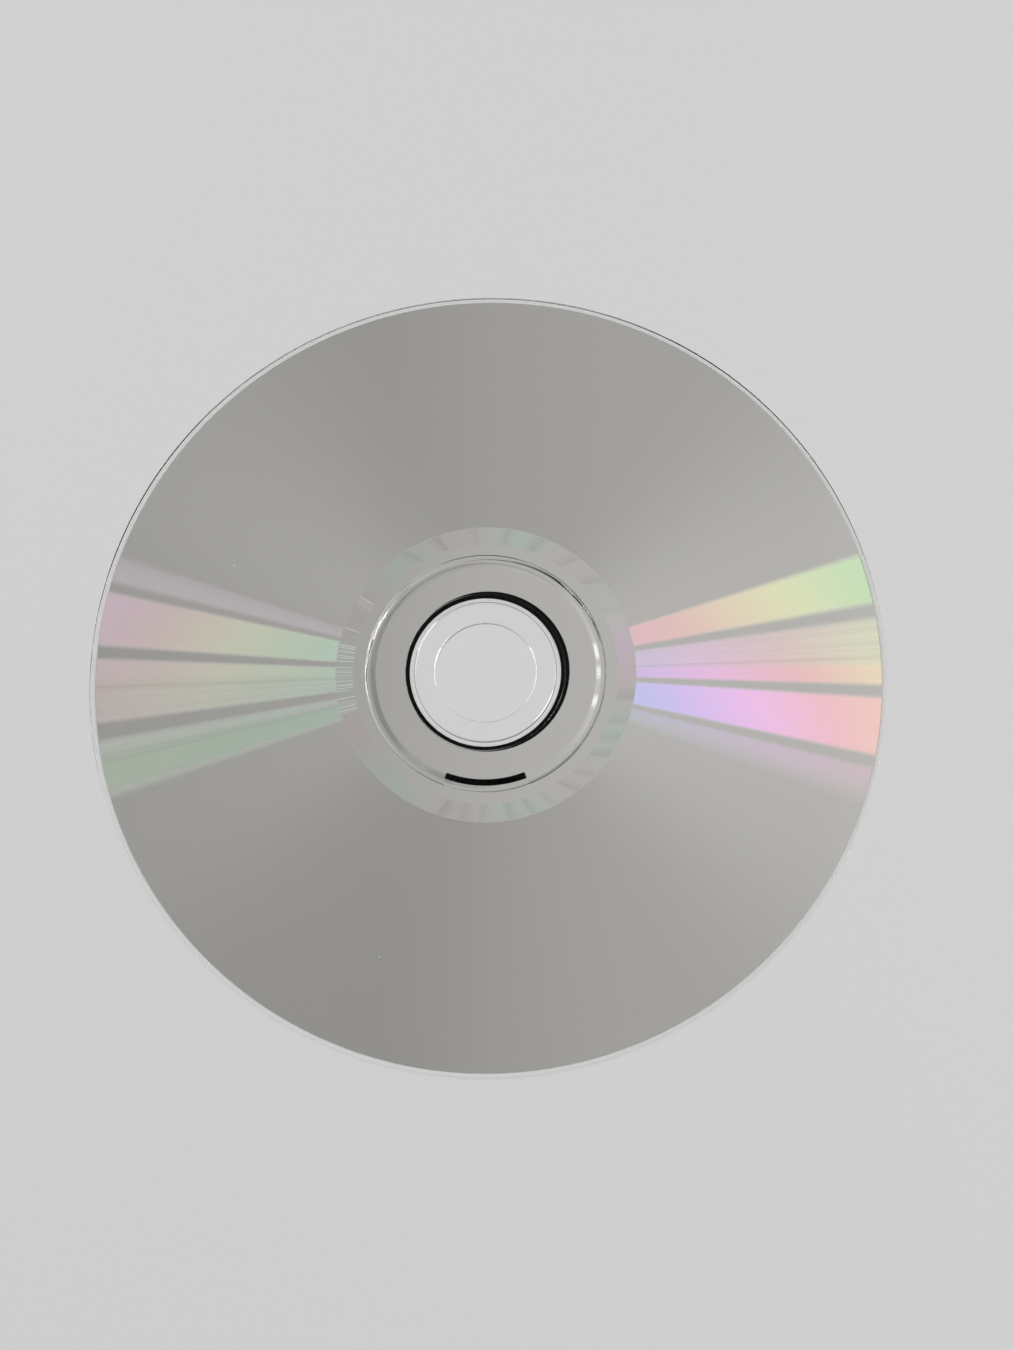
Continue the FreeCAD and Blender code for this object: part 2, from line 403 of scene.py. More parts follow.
@dataclass(frozen=True)
class ClearPlasticFinish:
    """Moulded polycarbonate with light hairlines, a little dust and a thin painted shade beside the hub line.
    """

    colour: Colour = (0.985, 0.985, 0.975)
    ior: float = 1.585
    roughness: float = 0.004
    scratch_roughness: float = 0.12
    bump: float = 0.15
    bump_depth: float = 0.02
    lines: tuple[GlintLine, ...] = (
        GlintLine((7.48, 7.74), 1.0), GlintLine((10.5, 10.74), 1.0), GlintLine((11.95, 12.09), 0.25))
    line_softness: float = 0.02
    line_glint: float = 2.2
    line_roughness: float = 0.03
    # painted shade: thin darker ring of the plastic beside the hub line, and how dark it is
    painted_shade_ring: Ring = (10.66, 10.78)
    painted_shade_softness: float = 0.03
    shade: float = 0.25
    first_glint: Colour = (0.15, 0.15, 0.15)
    steep_ring: Ring = (16.38, 17.62)
    steep_ring_softness: float = 0.03
    steep_centre: float = 270.2
    steep_half: float = 20.8
    steep_end_softness: float = 0.25
    steep_slope: float = 0.5

    def steeper(self, sheet: Sheet, effects: SharedEffects, place: Socket,
                radius: Socket, angle: Socket) -> Socket:
        """Tilts the surface along the stretch of the stacking ring's hub-side flank that stands steeper.

        Args:
            sheet: Sheet of the material.
            effects: Shared node groups.
            place: Object coordinates.
            radius: Radius in millimetres.
            angle: Angle in degrees.

        Returns:
            The surface's normal.
        """
        ring = effects.ring_mask(sheet, radius, self.steep_ring, self.steep_ring_softness)
        stretch, _ = effects.sector_parts(sheet, angle, self.steep_centre, self.steep_half,
                                          self.steep_end_softness)
        surface = sheet.add("ShaderNodeNewGeometry").outputs
        side = sheet.math("MULTIPLY_ADD", surface["Backfacing"], -2.0, 1.0)
        inward = sheet.vector("NORMALIZE", sheet.vector("MULTIPLY", place, (-1.0, -1.0, 0.0)))
        lean = sheet.vector("SCALE", inward, scale=self.steep_slope)
        steep = sheet.vector("SCALE", sheet.vector("ADD", lean, (0.0, 0.0, 1.0)), scale=side)
        inputs = {0: sheet.math("MULTIPLY", ring, stretch), 4: surface["Normal"], 5: steep}
        mixed = sheet.add("ShaderNodeMix", inputs, data_type="VECTOR").outputs[1]
        return sheet.vector("NORMALIZE", mixed)

    def make(self, effects: SharedEffects) -> bpy.types.Material:
        """Builds the material.

        Args:
            effects: Shared node groups.

        Returns:
            The clear material, which lets the lamps' light through to what lies in it.
        """
        material, sheet = new_material("clear_plastic_finish")
        place = sheet.add("ShaderNodeTexCoord").outputs["Object"]
        wear = sheet.group(effects.hairlines, {"Vector": place})
        marks = sheet.math("MAXIMUM", wear.outputs["Scratches"], wear.outputs["Specks"])
        roughness = sheet.math("MULTIPLY_ADD", marks, self.scratch_roughness, self.roughness)
        spot = sheet.group(effects.place, {"Vector": place}).outputs
        radius = spot["Radius"]
        normal = self.steeper(sheet, effects, place, radius, spot["Angle"])
        bump = sheet.add("ShaderNodeBump", {
            "Strength": self.bump, "Distance": self.bump_depth * MM, "Height": marks, "Normal": normal})
        # painted shade: darker tint of the plastic in a thin ring beside the hub line
        line = effects.ring_mask(sheet, radius, self.painted_shade_ring, self.painted_shade_softness)
        colour = sheet.blend(line, self.colour, (self.shade,) * 3)
        glint = 0.0
        for fine in self.lines:
            ring = effects.ring_mask(sheet, radius, fine.ring, self.line_softness)
            glint = sheet.math("MAXIMUM", glint, sheet.math("MULTIPLY", ring, fine.weight))
        plastic = sheet.add("ShaderNodeBsdfPrincipled", {
            "Base Color": colour, "Roughness": roughness, "IOR": self.ior, "Transmission Weight": 1.0,
            "Specular Tint": self.first_glint, "Normal": bump.outputs[0],
            "Coat Weight": glint, "Coat IOR": self.line_glint, "Coat Roughness": self.line_roughness})
        open_way = sheet.add("ShaderNodeBsdfTransparent")
        path = sheet.add("ShaderNodeLightPath").outputs
        soft_light = sheet.math("MAXIMUM", path["Is Shadow Ray"], path["Is Diffuse Ray"])
        mix = sheet.add("ShaderNodeMixShader", {0: soft_light, 1: plastic.outputs[0], 2: open_way.outputs[0]})
        sheet.add("ShaderNodeOutputMaterial", {"Surface": mix.outputs[0]})
        return material


@dataclass(frozen=True)
class PaintedDiffractionFan:
    """One fan of spectral colour on the recorded area: painted light in place of the window light spread into
    colour by the tracks.

    Its hue runs evenly from the inner edge to the outer one, in degrees of the colour circle. The slope
    moves the colours outwards from the lower angle to the higher one, in millimetres, and the fade weakens
    the fan towards its lower angle.
    """

    centre: float
    half_width: float
    strength: float
    hues: tuple[float, float]
    saturation: float
    value: float
    streaks: float = 0.0
    slope: float = 0.0
    fade: float = 0.0
    softness: float = 0.55
    steps: int = 6

    def stops(self) -> tuple[Stop, ...]:
        """Works out the fan's colours.

        Returns:
            Screen colours at even steps from the inner edge (0) to the outer one (1).
        """
        first, last = self.hues
        stops = []
        for share in (step / self.steps for step in range(self.steps + 1)):
            hue = (first + (last - first) * share) / 360.0 % 1.0
            shade = colorsys.hsv_to_rgb(hue, self.saturation, self.value)
            stops.append((share, tuple(255.0 * part for part in shade)))
        return tuple(stops)


# painted light: fans of the window light's spectral colour, fixed on the film
PAINTED_DIFFRACTION_FANS = (
    PaintedDiffractionFan(342.3, 3.0, 0.85, (230, 340), 0.12, 0.8, fade=1.0, softness=0.7),
    PaintedDiffractionFan(351.6, 4.2, 1.0, (235, 375), 0.2, 0.92, slope=3.0),
    PaintedDiffractionFan(359.9, 2.1, 1.0, (265, 405), 0.2, 0.9, streaks=0.1, slope=1.0),
    PaintedDiffractionFan(364.2, 3.4, 1.0, (265, 430), 0.12, 0.84, streaks=0.28, slope=1.0, softness=0.8),
    PaintedDiffractionFan(373.7, 3.7, 1.0, (345, 465), 0.17, 0.86, slope=1.5, softness=0.7),
    PaintedDiffractionFan(163.6, 1.9, 0.6, (290, 300), 0.08, 0.71, fade=0.6, softness=0.8),
    PaintedDiffractionFan(171.4, 4.0, 1.0, (140, -40), 0.1, 0.75, slope=-3.0),
    PaintedDiffractionFan(179.8, 2.2, 0.95, (120, -15), 0.09, 0.74, softness=0.6),
    PaintedDiffractionFan(183.9, 3.2, 0.95, (135, 0), 0.08, 0.72, streaks=0.28, softness=0.7),
    PaintedDiffractionFan(193.6, 3.6, 0.75, (140, 100), 0.06, 0.69, streaks=0.2, softness=0.7),
    PaintedDiffractionFan(195.2, 2.7, 0.85, (140, 100), 0.09, 0.7, softness=1.4),
)


@dataclass(frozen=True)
class BandMark:
    """One darker block in the band of marks, in degrees, darkest near its start."""

    start: float
    end: float
    depth: float


@dataclass(frozen=True)
class MarkRow:
    """Row of generic blocks at even steps along the band, in degrees."""

    start: float
    step: float
    count: int


MARK_ROWS = (MarkRow(25.0, 13.5, 8), MarkRow(250.0, 8.8, 12))
MARK_SPREAD = 0.618
MARK_SHIFT = 2.0
MARK_LENGTH = 4.0
MARK_DEPTH = 0.08
MARK_DEPTH_SPREAD = 0.07


def band_marks() -> tuple[BandMark, ...]:
    """Lays out the generic blocks of the band, with none where the groups of bars are.

    Returns:
        The blocks in order, uneven in length and depth.
    """
    starts = [row.start + row.step * number for row in MARK_ROWS for number in range(row.count)]
    marks = []
    for number, start in enumerate(starts):
        share = number * MARK_SPREAD % 1.0
        marks.append(BandMark(start + MARK_SHIFT * share, start + MARK_LENGTH + MARK_LENGTH * share,
                              MARK_DEPTH + MARK_DEPTH_SPREAD * share))
    return tuple(marks)


BAND_MARKS = band_marks()


def lobe(angle: float, centre: float, half_width: float) -> float:
    """Smooth hump that is 1 at its centre and 0 from its half width on, in degrees round the disc."""
    away = abs((angle - centre + 180.0) % 360.0 - 180.0) / half_width
    return 0.5 + 0.5 * math.cos(math.pi * min(1.0, away))


@dataclass(frozen=True)
class Ray:
    """Broad lobe round the disc, in degrees, with the grey that it adds at its centre; on the recorded area
    the lobes are painted sheen and painted shade.
    """

    centre: float
    half_width: float
    height: float


@dataclass(frozen=True)
class BarGroup:
    """Group of fine bar marks in the band of marks, in degrees, painted bright only where the window light's
    fans fall.
    """

    centre: float
    half_width: float
    strength: float


@dataclass(frozen=True)
class MetalFilmFinish:
    """Sputtered metal film: plain mirror at the hub, recorded area with painted sheen and painted fans of the
    window light's spectral colour.
    """

    mirror: float = 0.88
    tint: Colour = (1.0, 0.988, 0.962)
    roughness: float = 0.02
    record_inner: float = 22.675
    record_outer: float = 59.3
    record_softness: float = 0.15
    record_start: float = 0.04
    lead_in: Ring = (22.6, 22.75)
    lead_in_softness: float = 0.04
    lead_in_strength: float = 0.4
    lead_in_colour: Colour = (0.93, 0.94, 0.93)
    scatter: float = 0.94
    lift: float = 1.04
    grey: float = 0.71
    # painted sheen and shade: broad lighter and darker rays round the recorded area
    rays: tuple[Ray, ...] = (
        Ray(20, 38, 0.19), Ray(150, 50, 0.21), Ray(203, 32, 0.16), Ray(262, 30, -0.05), Ray(340, 40, 0.21))
    fan_edge: float = 0.8
    streak: Ring = (0.38, 0.66)
    band: Ring = (20.0, 22.6)
    band_softness: float = 0.06
    band_middle: float = 21.3
    band_lean: float = 1.7
    band_plain: Colour = (170, 169, 165)
    band_grey: Colour = (168, 169, 164)
    band_swing: float = 4.0
    band_swings: int = 7
    band_pink: Ray = Ray(11, 24, 24)
    mark_edge: float = 0.6
    # partly painted light: fine bar marks of the band, painted bright where the window light's fans fall
    painted_lit_bars: tuple[BarGroup, ...] = (
        BarGroup(149.8, 2.1, 0.9), BarGroup(161.4, 0.5, 0.8), BarGroup(171.2, 4.0, 1.0),
        BarGroup(182.3, 5.2, 0.95), BarGroup(192.8, 3.1, 1.0))
    bar_softness: float = 0.3
    bar_step: Ring = (0.5, 0.64)
    painted_lit_bar_colour: Colour = (0.9, 0.93, 0.89)
    bar_scatter: float = 0.45
    speck_strength: float = 0.8
    speck_colour: Colour = (0.8, 0.8, 0.78)

    def painted_sheen(self, angle: float) -> float:
        """Grey of the recorded area at an angle, with the painted sheen and shade of its broad brighter and
        darker rays.
        """
        return self.grey + sum(painted_sheen.height * lobe(angle, painted_sheen.centre, painted_sheen.half_width) for painted_sheen in self.rays)

    def band_tint(self, angle: float) -> Colour:
        """Works out the band's tint: slow green and pink swings, with one pink stretch.

        Args:
            angle: Angle in degrees.

        Returns:
            Screen colour of the band.
        """
        swing = self.band_swing * math.cos(math.radians(self.band_swings * angle))
        pink = self.band_pink.height * lobe(angle, self.band_pink.centre, self.band_pink.half_width)
        red, green, blue = self.band_grey
        return red + swing + pink, green - swing, blue + pink / 2.0

    def lit(self, shade: Colour) -> Colour:
        """Linear colour of a scattered shade, lifted for the light that the plastic keeps back."""
        return tuple(min(1.0, value * self.lift) for value in linear(*shade))

    def recorded(self, sheet: Sheet, effects: SharedEffects, radius: Socket,
                 angle: Socket) -> tuple[Socket, Socket]:
        """Colours the recorded area, with its painted sheen and its painted fans of spectral colour.

        Args:
            sheet: Sheet of the material.
            effects: Shared node groups.
            radius: Radius in millimetres.
            angle: Angle in degrees.

        Returns:
            The colour and the share of scattered light.
        """
        turn = sheet.math("DIVIDE", angle, 360.0)
        # painted sheen: the recorded area's grey, lighter and darker by angle
        steps = tuple((place / 360.0, (self.painted_sheen(place),) * 3) for place in range(0, 361, RAMP_STEP))
        grey = sheet.ramp(turn, steps, "B_SPLINE")
        colour = sheet.blend(1.0, grey, self.tint, "MULTIPLY")
        width = self.record_outer - self.record_inner
        rays = sheet.add("ShaderNodeCombineXYZ", {0: sheet.math("MULTIPLY", angle, 0.85),
                                                  1: sheet.math("MULTIPLY", radius, 0.006)})
        fine = sheet.add("ShaderNodeTexNoise", {"Vector": rays.outputs[0], "Scale": 1.0, "Detail": 2.0})
        streak = sheet.step(fine.outputs[0], *self.streak)
        scatter = 0.0
        # painted light: each fan is a fixed colour in place of the window light spread by the tracks
        for painted_fan in PAINTED_DIFFRACTION_FANS:
            fan, across = effects.sector_parts(sheet, angle, painted_fan.centre % 360.0, painted_fan.half_width,
                                               painted_fan.softness)
            mask = sheet.math("MULTIPLY", fan, painted_fan.strength)
            if painted_fan.streaks:
                mask = sheet.math("MULTIPLY", mask, sheet.math("MULTIPLY_ADD", streak, -painted_fan.streaks, 1.0))
            if painted_fan.fade:
                rise = sheet.math("MULTIPLY_ADD", across, painted_fan.fade, 1.0 - painted_fan.fade)
                mask = sheet.math("MULTIPLY", mask, rise)
            start = self.record_inner + painted_fan.slope / 2.0
            span = sheet.math("MULTIPLY_ADD", across, painted_fan.slope, sheet.math("SUBTRACT", radius, start))
            share = sheet.math("DIVIDE", span, width, clamp=True)
            stops = tuple((place, self.lit(shade)) for place, shade in painted_fan.stops())
            edge = sheet.math("POWER", mask, self.fan_edge)
            colour = sheet.blend(edge, colour, sheet.ramp(share, stops, "B_SPLINE"))
            scatter = sheet.math("MAXIMUM", scatter, sheet.math("MULTIPLY", mask, self.scatter))
        return colour, scatter

    def marks(self, sheet: Sheet, turn: Socket) -> Socket:
        """Darkens the blocks of the band of marks.

        Args:
            sheet: Sheet of the material.
            turn: Angle as a share of the full turn.

        Returns:
            How much of the mirror is left.
        """
        left = 1.0
        for number in range(0, len(BAND_MARKS), MARKS_PER_RAMP):
            stops = [(0.0, (1.0,) * 3)]
            for mark in BAND_MARKS[number:number + MARKS_PER_RAMP]:
                darkest = (mark.start + self.mark_edge) / 360.0
                stops += [(mark.start / 360.0, (1.0,) * 3), (darkest, (1.0 - mark.depth,) * 3),
                          (mark.end / 360.0, (1.0,) * 3)]
            left = sheet.math("MULTIPLY", left, sheet.ramp(turn, tuple(stops)))
        return left

    def hub(self, sheet: Sheet, effects: SharedEffects, radius: Socket,
            angle: Socket) -> tuple[Socket, Socket]:
        """Colours the hub's mirror and the faint marks of its outer band, with fine bar marks painted lit
        where the window light's fans fall.

        Args:
            sheet: Sheet of the material.
            effects: Shared node groups.
            radius: Radius in millimetres.
            angle: Angle in degrees.

        Returns:
            The colour and the share of scattered light.
        """
        plain = tuple(self.mirror * share for share in self.tint)
        tilt = sheet.math("SINE", sheet.math("RADIANS", sheet.math("MULTIPLY", angle, 2.0)))
        lean = sheet.math("MULTIPLY_ADD", sheet.math("SUBTRACT", radius, self.band_middle),
                          sheet.math("MULTIPLY", tilt, self.band_lean), angle)
        turn = sheet.math("DIVIDE", sheet.math("WRAP", lean, 360.0, 0.0), 360.0)
        tints = []
        for place in range(0, 361, RAMP_STEP):
            parts = zip(linear(*self.band_tint(place)), linear(*self.band_plain), self.tint)
            tints.append((place / 360.0, tuple(min(1.0, self.mirror * value / base * share)
                                               for value, base, share in parts)))
        shades = sheet.blend(1.0, sheet.ramp(turn, tuple(tints)), self.marks(sheet, turn), "MULTIPLY")
        rays = sheet.add("ShaderNodeCombineXYZ", {0: sheet.math("MULTIPLY", lean, 1.9)})
        noise = sheet.add("ShaderNodeTexNoise", {"Vector": rays.outputs[0], "Scale": 1.0, "Detail": 1.0})
        grain = sheet.math("MULTIPLY_ADD", noise.outputs[0], 0.13, 0.935)
        shades = sheet.blend(1.0, shades, grain, "MULTIPLY")
        band = effects.ring_mask(sheet, radius, self.band, self.band_softness)
        colour = sheet.blend(band, plain, shades)
        fine = sheet.add("ShaderNodeCombineXYZ", {0: sheet.math("MULTIPLY", angle, 2.7), 1: 7.0})
        noise = sheet.add("ShaderNodeTexNoise", {"Vector": fine.outputs[0], "Scale": 1.0, "Detail": 1.0})
        # painted light: the band's fine bar marks show bright only in the sectors of the window light's fans
        painted_lit_bars = 0.0
        for bar in self.painted_lit_bars:
            part, _ = effects.sector_parts(sheet, angle, bar.centre, bar.half_width, self.bar_softness)
            painted_lit_bars = sheet.math("MAXIMUM", painted_lit_bars, sheet.math("MULTIPLY", part, bar.strength))
        gaps = sheet.step(noise.outputs[0], *self.bar_step)
        painted_lit_bars = sheet.math("MULTIPLY", sheet.math("MULTIPLY", painted_lit_bars, band), gaps)
        return sheet.blend(painted_lit_bars, colour, self.painted_lit_bar_colour), sheet.math("MULTIPLY", painted_lit_bars, self.bar_scatter)

    def make(self, effects: SharedEffects) -> bpy.types.Material:
        """Builds the material.

        Args:
            effects: Shared node groups.

        Returns:
            The film's material.
        """
        material, sheet = new_material("metal_film_finish")
        place = sheet.add("ShaderNodeTexCoord").outputs["Object"]
        spot = sheet.group(effects.place, {"Vector": place})
        radius, angle = spot.outputs["Radius"], spot.outputs["Angle"]
        inner, start = self.record_inner, self.record_start
        record = sheet.step(radius, inner - start, inner + start)
        fans = effects.ring_mask(sheet, radius, (inner, self.record_outer), self.record_softness)
        colour, scatter = self.recorded(sheet, effects, radius, angle)
        tracks = sheet.add("ShaderNodeTexNoise", {"W": sheet.math("MULTIPLY", radius, 2.6), "Scale": 1.0,
                                                  "Detail": 3.0}, noise_dimensions="1D")
        ripple = sheet.math("MULTIPLY_ADD", tracks.outputs[0], 0.03, 0.985)
        colour = sheet.blend(1.0, colour, ripple, "MULTIPLY")
        inner_colour, inner_scatter = self.hub(sheet, effects, radius, angle)
        colour = sheet.blend(record, inner_colour, colour)
        scatter = sheet.blend(record, inner_scatter, sheet.math("MULTIPLY", scatter, fans))
        lead_in = effects.ring_mask(sheet, radius, self.lead_in, self.lead_in_softness)
        lead_in = sheet.math("MULTIPLY", lead_in, self.lead_in_strength)
        colour = sheet.blend(lead_in, colour, self.lead_in_colour)
        wear = sheet.group(effects.hairlines, {"Vector": place})
        specks = sheet.math("MULTIPLY", wear.outputs["Specks"], self.speck_strength)
        colour = sheet.blend(specks, colour, self.speck_colour)
        scatter = sheet.math("MAXIMUM", scatter, specks)
        metallic = sheet.math("SUBTRACT", 1.0, scatter)
        metal = sheet.add("ShaderNodeBsdfPrincipled", {"Base Color": colour, "Metallic": metallic,
                                                       "Roughness": self.roughness})
        sheet.add("ShaderNodeOutputMaterial", {"Surface": metal.outputs[0]})
        return material


@dataclass(frozen=True)
class BlackInkFinish:
    """Screen-printed black ink: no gloss where it lies against the lacquer, a satin one on the label face."""

    colour: Colour = (0.003, 0.003, 0.0033)
    roughness: float = 0.38
    pitch: float = 0.11
    gloss: float = 0.35
    scratch_colour: Colour = (0.03, 0.03, 0.031)
    label_level: float = 0.005

    def make(self, effects: SharedEffects) -> bpy.types.Material:
        """Builds the material.

        Args:
            effects: Shared node groups.

        Returns:
            The ink's material.
        """
        material, sheet = new_material("black_ink_finish")
        place = sheet.add("ShaderNodeTexCoord").outputs["Object"]
        parts = sheet.add("ShaderNodeSeparateXYZ", {0: place})
        turns = 2 * math.pi / (self.pitch * MM)
        waves = [sheet.math("SINE", sheet.math("MULTIPLY", parts.outputs[number], turns))
                 for number in (0, 1)]
        mesh = sheet.math("MULTIPLY", waves[0], waves[1])
        cloud = sheet.add("ShaderNodeTexNoise", {"Vector": place, "Scale": 90.0, "Detail": 5.0})
        wear = sheet.group(effects.hairlines, {"Vector": place})
        rough = sheet.math("MULTIPLY_ADD", cloud.outputs[0], 0.16, self.roughness - 0.08)
        rough = sheet.math("SUBTRACT", rough, sheet.math("MULTIPLY", wear.outputs["Scratches"], 0.15))
        shade = sheet.blend(wear.outputs["Scratches"], self.colour, self.scratch_colour)
        height = sheet.math("MULTIPLY_ADD", cloud.outputs[0], 2.0, mesh)
        bump = sheet.add("ShaderNodeBump", {"Strength": 0.25, "Distance": 0.004 * MM, "Height": height})
        label_face = sheet.math("LESS_THAN", parts.outputs[2], self.label_level * MM)
        ink = sheet.add("ShaderNodeBsdfPrincipled", {
            "Base Color": shade, "Roughness": rough, "Specular IOR Level": 0.0, "Normal": bump.outputs[0],
            "Coat Weight": label_face, "Coat Roughness": self.gloss})
        sheet.add("ShaderNodeOutputMaterial", {"Surface": ink.outputs[0]})
        return material


@dataclass(frozen=True)
class PaleFloorFinish:
    """Matt pale table."""

    colour: Colour = (0.6, 0.597, 0.605)
    roughness: float = 0.75

    def make(self) -> bpy.types.Material:
        """Builds the material.

        Returns:
            The floor's material.
        """
        material, sheet = new_material("pale_floor_finish")
        place = sheet.add("ShaderNodeTexCoord").outputs["Object"]
        grain = sheet.add("ShaderNodeTexNoise", {"Vector": place, "Scale": 900.0, "Detail": 4.0})
        deeper = tuple(value * 0.97 for value in self.colour)
        colour = sheet.blend(grain.outputs[0], self.colour, deeper)
        floor = sheet.add("ShaderNodeBsdfPrincipled", {"Base Color": colour, "Roughness": self.roughness,
                                                       "IOR": 1.35})
        sheet.add("ShaderNodeOutputMaterial", {"Surface": floor.outputs[0]})
        return material


# Pieces


@dataclass(frozen=True)
class RingRound:
    """Rounding of one ring edge of a turned body."""

    radius: float
    level: float
    width: float
    segments: int


def turned_body(name: str, profile: tuple[Ring, ...], rounds: tuple[RingRound, ...],
                steps: int) -> bpy.types.Object:
    """Spins a closed profile round the disc's axis and rounds its ring edges.

    Args:
        name: Name of the object.
        profile: Corners, each a radius and a level in millimetres, in order round the section.
        rounds: Roundings of ring edges.
        steps: Number of steps in the full turn.

    Returns:
        The turned object, at the origin.
    """
    body = bmesh.new()
    corners = [body.verts.new((radius * MM, 0.0, level * MM)) for radius, level in profile]
    lines = [body.edges.new((corner, corners[(number + 1) % len(corners)]))
             for number, corner in enumerate(corners)]
    bmesh.ops.spin(body, geom=corners + lines, cent=(0, 0, 0), axis=(0, 0, 1), angle=math.tau,
                   steps=steps, use_merge=True, use_duplicate=False)
    bmesh.ops.remove_doubles(body, verts=body.verts, dist=1e-7)
    bmesh.ops.recalc_face_normals(body, faces=body.faces)
    for ring in rounds:
        edges = [edge for edge in body.edges if all(
            abs(math.hypot(vert.co.x, vert.co.y) - ring.radius * MM) < 2e-6
            and abs(vert.co.z - ring.level * MM) < 2e-6 for vert in edge.verts)]
        if len(edges) != steps:
            raise ValueError(f"{name}: {len(edges)} edges at radius {ring.radius}, level {ring.level}")
        bmesh.ops.bevel(body, geom=edges, offset=ring.width * MM, offset_type="OFFSET", affect="EDGES",
                        segments=ring.segments, profile=0.5, material=-1, clamp_overlap=True)
    mesh = bpy.data.meshes.new(name)
    for face in body.faces:
        face.smooth = True
    body.to_mesh(mesh)
    body.free()
    piece = bpy.data.objects.new(name, mesh)
    bpy.context.scene.collection.objects.link(piece)
    return piece


@dataclass
class ClearBody:
    """The clear moulding, joined by the clear lacquer below it, round the film."""

    disc_radius: float = 60.0
    hole_radius: float = 7.5
    hole_chamfer: float = 0.2
    underside: float = 0.07
    playing_face: float = 1.27
    rim_round: float = 0.15
    lacquer_inner: float = 11.2
    lacquer_outer: float = 59.7
    lacquer_under: float = 0.014
    line_radius: float = 10.62
    line_half_width: float = 0.13
    line_depth: float = 0.1
    fine_line_radius: float = 12.02
    fine_line_half_width: float = 0.06
    fine_line_depth: float = 0.046
    stack_foot: float = 16.62
    stack_crest_inner: float = 17.6
    stack_crest_outer: float = 17.955
    stack_outer: float = 18.12
    stack_height: float = 0.2
    hold: float = 0.03
    steps: int = 360

    def profile(self) -> tuple[Ring, ...]:
        """Lays out the section.

        Returns:
            Corners from the hole's lower mouth outwards, up the rim and back over the playing face, with
            a second corner close to each one that ends a flat, so that the flats shade flat.
        """
        top, low, hold = self.playing_face, self.underside, self.hold
        crest = top + self.stack_height
        hole, chamfer = self.hole_radius, self.hole_chamfer
        return (
            (hole, low + chamfer), (hole + chamfer, low), (hole + chamfer + 2 * hold, low),
            (self.lacquer_inner - hold, low), (self.lacquer_inner, low),
            (self.lacquer_inner, self.lacquer_under), (self.lacquer_inner + hold, self.lacquer_under),
            (self.lacquer_outer - hold, self.lacquer_under), (self.lacquer_outer, self.lacquer_under),
            (self.lacquer_outer, low), (self.lacquer_outer + hold, low),
            (self.disc_radius, low), (self.disc_radius, low + self.rim_round + 2 * hold),
            (self.disc_radius, top - self.rim_round - 2 * hold), (self.disc_radius, top),
            (self.disc_radius - self.rim_round - 2 * hold, top),
            (self.stack_outer + 3 * hold, top), (self.stack_outer, top), (self.stack_crest_outer, crest),
            (self.stack_crest_outer - 3 * hold, crest), (self.stack_crest_inner + 6 * hold, crest),
            (self.stack_crest_inner, crest), (self.stack_foot, top), (self.stack_foot - 8 * hold, top),
            (self.fine_line_radius + self.fine_line_half_width + hold, top),
            (self.fine_line_radius + self.fine_line_half_width, top),
            (self.fine_line_radius, top - self.fine_line_depth),
            (self.fine_line_radius - self.fine_line_half_width, top),
            (self.fine_line_radius - self.fine_line_half_width - hold, top),
            (self.line_radius + self.line_half_width + 3 * hold, top),
            (self.line_radius + self.line_half_width, top),
            (self.line_radius, top - self.line_depth), (self.line_radius - self.line_half_width, top),
            (self.line_radius - self.line_half_width - 3 * hold, top),
            (hole + chamfer + 2 * hold, top), (hole + chamfer, top), (hole, top - chamfer),
        )

    def rounds(self) -> tuple[RingRound, ...]:
        """Lists the rounded ring edges.

        Returns:
            Roundings of the rim, the hole's mouths, the hub line and the stacking ring.
        """
        top, low, chamfer = self.playing_face, self.underside, self.hole_chamfer
        crest, hole = top + self.stack_height, self.hole_radius
        line, half = self.line_radius, self.line_half_width
        return (
            RingRound(self.disc_radius, low, self.rim_round, 6),
            RingRound(self.disc_radius, top, self.rim_round, 6),
            RingRound(hole, low + chamfer, 0.03, 2), RingRound(hole + chamfer, low, 0.03, 2),
            RingRound(hole, top - chamfer, 0.03, 2), RingRound(hole + chamfer, top, 0.05, 3),
            RingRound(line, top - self.line_depth, 0.02, 2), RingRound(line + half, top, 0.02, 2),
            RingRound(line - half, top, 0.02, 2),
            RingRound(self.fine_line_radius, top - self.fine_line_depth, 0.01, 2),
            RingRound(self.fine_line_radius + self.fine_line_half_width, top, 0.01, 2),
            RingRound(self.fine_line_radius - self.fine_line_half_width, top, 0.01, 2),
            RingRound(self.stack_foot, top, 0.12, 6), RingRound(self.stack_crest_inner, crest, 0.12, 6),
            RingRound(self.stack_crest_outer, crest, 0.04, 4), RingRound(self.stack_outer, top, 0.03, 3),
        )

    def build(self, effects: SharedEffects) -> bpy.types.Object:
        """Makes the clear body and dresses it.

        Args:
            effects: Shared node groups.

        Returns:
            The piece.
        """
        piece = turned_body("clear_body", self.profile(), self.rounds(), self.steps)
        piece.data.materials.append(ClearPlasticFinish().make(effects))
        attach(piece, "root")
        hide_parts(Node.SUBSTRATE.value, Node.LACQUER_COAT.value)
        return piece


def dress_node(node: Node, material: bpy.types.Material) -> bpy.types.Object:
    """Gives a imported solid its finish.

    Args:
        node: The solid.
        material: Its material.

    Returns:
        The solid's object.
    """
    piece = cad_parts[node.value]
    if not piece.material_slots:
        piece.data.materials.append(material)
    for place in piece.material_slots:
        place.material = material
    return piece


# Studio


